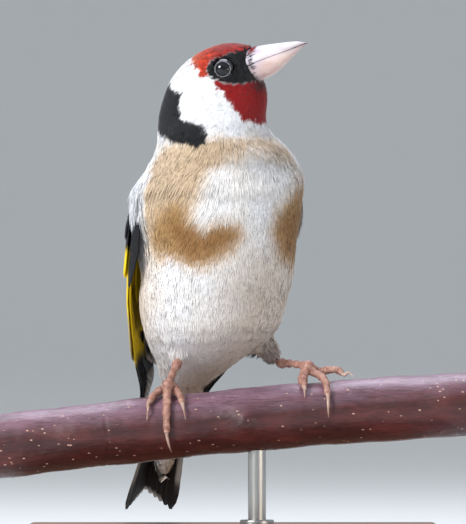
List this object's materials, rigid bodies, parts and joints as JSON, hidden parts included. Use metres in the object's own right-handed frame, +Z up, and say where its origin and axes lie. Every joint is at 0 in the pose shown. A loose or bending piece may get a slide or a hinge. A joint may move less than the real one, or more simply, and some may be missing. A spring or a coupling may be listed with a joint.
{
  "type": "european goldfinch, life-size museum model on a perch and display stand",
  "caption": "Life-size european goldfinch, standing upright with its head turned, gripping a cut length of branch on a flat display stand.",
  "frame": {"origin": "middle of the underside of the stand's base", "axes": "+Z up from the base to the crown, +X along the rising branch towards the side the bill points to, -Y towards the viewer whom the breast faces"},
  "size_m": [0.12, 0.0949, 0.129],
  "materials": {
    "white feathers": "matt feathers, white cheeks with red face and black crown",
    "buff feathers": "matt soft feathers, white belly, buff and brown breast",
    "wing feathers": "black flight feathers with a yellow bar and white tips",
    "tail feathers": "black flight feathers with white spots",
    "bill horn": "smooth pale horn",
    "eye": "wet gloss, near black",
    "leg skin": "scaly pinkish skin",
    "claw horn": "smooth horn",
    "bark": "smooth glossy dark red bark with pale pores",
    "stand wood": "satin varnished",
    "stand metal": "satin"
  },
  "bodies": {
    "root": {"head": "white feathers", "neck": "buff feathers", "torso": "buff feathers", "bill_upper": "bill horn", "bill_lower": "bill horn", "eye_left": "eye", "eye_right": "eye", "wing_left": "wing feathers", "wing_right": "wing feathers", "tail": "tail feathers", "thigh_left": "buff feathers", "thigh_right": "buff feathers", "tarsus_left": "leg skin", "tarsus_right": "leg skin", "foot_left": "leg skin", "foot_right": "leg skin", "claw_left_outer": "claw horn", "claw_left_middle": "claw horn", "claw_left_inner": "claw horn", "claw_left_hind": "claw horn", "claw_right_outer": "claw horn", "claw_right_middle": "claw horn", "claw_right_inner": "claw horn", "claw_right_hind": "claw horn", "perch": "bark", "stand_base": "stand wood", "stand_rod": "stand metal"}
  },
  "joints": []
}
